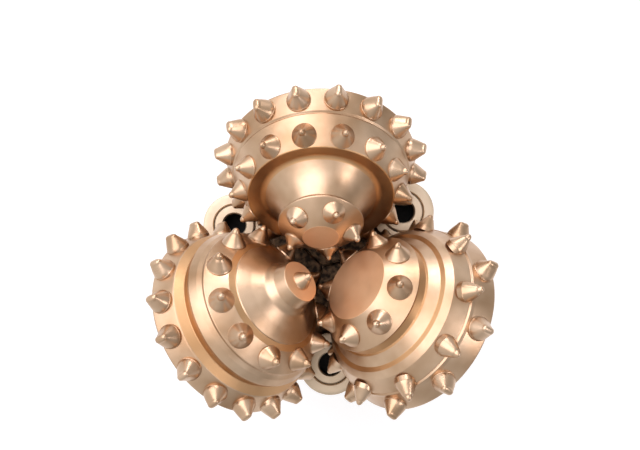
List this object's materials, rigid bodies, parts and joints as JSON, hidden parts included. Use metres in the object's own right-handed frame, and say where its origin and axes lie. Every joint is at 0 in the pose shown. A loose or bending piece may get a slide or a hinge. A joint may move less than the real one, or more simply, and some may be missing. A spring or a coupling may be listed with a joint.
{
  "type": "tricone drill bit",
  "caption": "Roller cone drill bit with a tapered pin, welded legs and toothed cones that turn on sealed journal bearings and mesh above the jet nozzles.",
  "frame": {"origin": "the bit's centre of volume, on the bit's axis", "axes": "+Z along the bit's axis from the pin to the cones; +Y over the journal of cone 1, seen from above"},
  "size_m": [0.3094, 0.2958, 0.4028],
  "materials": {
    "bronze_steel": "satin bronze",
    "bronze_insert": "satin bronze",
    "bearing_steel": "ground",
    "bearing_bronze": "machined",
    "nozzle_carbide": "satin",
    "seal_rubber": "matt"
  },
  "bodies": {
    "body": {"leg_1": "bronze_steel", "leg_2": "bronze_steel", "leg_3": "bronze_steel", "ball_plug_1": "bronze_steel", "ball_plug_2": "bronze_steel", "ball_plug_3": "bronze_steel", "nozzle_1": "nozzle_carbide", "nozzle_2": "nozzle_carbide", "nozzle_3": "nozzle_carbide", "nozzle_o_ring_1": "seal_rubber", "nozzle_o_ring_2": "seal_rubber", "nozzle_o_ring_3": "seal_rubber", "nozzle_retainer_1": "nozzle_carbide", "nozzle_retainer_2": "nozzle_carbide", "nozzle_retainer_3": "nozzle_carbide", "reservoir_cup_1": "bearing_steel", "reservoir_cup_2": "bearing_steel", "reservoir_cup_3": "bearing_steel", "reservoir_diaphragm_1": "seal_rubber", "reservoir_diaphragm_2": "seal_rubber", "reservoir_diaphragm_3": "seal_rubber", "reservoir_cap_1": "bronze_steel", "reservoir_cap_2": "bronze_steel", "reservoir_cap_3": "bronze_steel", "reservoir_snap_ring_1": "bearing_steel", "reservoir_snap_ring_2": "bearing_steel", "reservoir_snap_ring_3": "bearing_steel"},
    "roller_cone_1": {"cone_1": "bronze_steel", "nose_bushing_1": "bearing_bronze", "thrust_washer_1": "bearing_bronze", "thrust_button_1": "bearing_steel", "seal_ring_1": "seal_rubber"},
    "roller_ring_1": {"main_rollers_1": "bearing_steel"},
    "ball_ring_1": {"lock_balls_1": "bearing_steel"},
    "roller_cone_2": {"cone_2": "bronze_steel", "cone_2_nose_insert": "bronze_insert", "nose_bushing_2": "bearing_bronze", "thrust_washer_2": "bearing_bronze", "thrust_button_2": "bearing_steel", "seal_ring_2": "seal_rubber"},
    "roller_ring_2": {"main_rollers_2": "bearing_steel"},
    "ball_ring_2": {"lock_balls_2": "bearing_steel"},
    "roller_cone_3": {"cone_3": "bronze_steel", "nose_bushing_3": "bearing_bronze", "thrust_washer_3": "bearing_bronze", "thrust_button_3": "bearing_steel", "seal_ring_3": "seal_rubber"},
    "roller_ring_3": {"main_rollers_3": "bearing_steel"},
    "ball_ring_3": {"lock_balls_3": "bearing_steel"}
  },
  "joints": [
    {"name": "cone_1_spin", "type": "hinge", "parent": "body", "child": "roller_cone_1", "pos_m": [-0.0013, 0, 0.1368], "axis": [-0.0021, 0.8191, -0.5736], "continuous": true},
    {"name": "rollers_1_orbit", "type": "hinge", "parent": "body", "child": "roller_ring_1", "pos_m": [-0.0013, 0, 0.1368], "axis": [-0.0021, 0.8191, -0.5736], "continuous": true},
    {"name": "balls_1_orbit", "type": "hinge", "parent": "body", "child": "ball_ring_1", "pos_m": [-0.0013, 0, 0.1368], "axis": [-0.0021, 0.8191, -0.5736], "continuous": true},
    {"name": "cone_2_spin", "type": "hinge", "parent": "body", "child": "roller_cone_2", "pos_m": [0.00065, -0.00112, 0.1368], "axis": [-0.7083, -0.4114, -0.5736], "continuous": true},
    {"name": "rollers_2_orbit", "type": "hinge", "parent": "body", "child": "roller_ring_2", "pos_m": [0.00065, -0.00112, 0.1368], "axis": [-0.7083, -0.4114, -0.5736], "continuous": true},
    {"name": "balls_2_orbit", "type": "hinge", "parent": "body", "child": "ball_ring_2", "pos_m": [0.00065, -0.00112, 0.1368], "axis": [-0.7083, -0.4114, -0.5736], "continuous": true},
    {"name": "cone_3_spin", "type": "hinge", "parent": "body", "child": "roller_cone_3", "pos_m": [0.00065, 0.00113, 0.1368], "axis": [0.7105, -0.4077, -0.5736], "continuous": true},
    {"name": "rollers_3_orbit", "type": "hinge", "parent": "body", "child": "roller_ring_3", "pos_m": [0.00065, 0.00113, 0.1368], "axis": [0.7105, -0.4077, -0.5736], "continuous": true},
    {"name": "balls_3_orbit", "type": "hinge", "parent": "body", "child": "ball_ring_3", "pos_m": [0.00065, 0.00113, 0.1368], "axis": [0.7105, -0.4077, -0.5736], "continuous": true}
  ],
  "couplings": [
    {"joint": "rollers_1_orbit", "follows": "cone_1_spin", "ratio": 0.5797},
    {"joint": "balls_1_orbit", "follows": "cone_1_spin", "ratio": 0.6294},
    {"joint": "rollers_2_orbit", "follows": "cone_2_spin", "ratio": 0.5797},
    {"joint": "balls_2_orbit", "follows": "cone_2_spin", "ratio": 0.6294},
    {"joint": "rollers_3_orbit", "follows": "cone_3_spin", "ratio": 0.5797},
    {"joint": "balls_3_orbit", "follows": "cone_3_spin", "ratio": 0.6294}
  ]
}
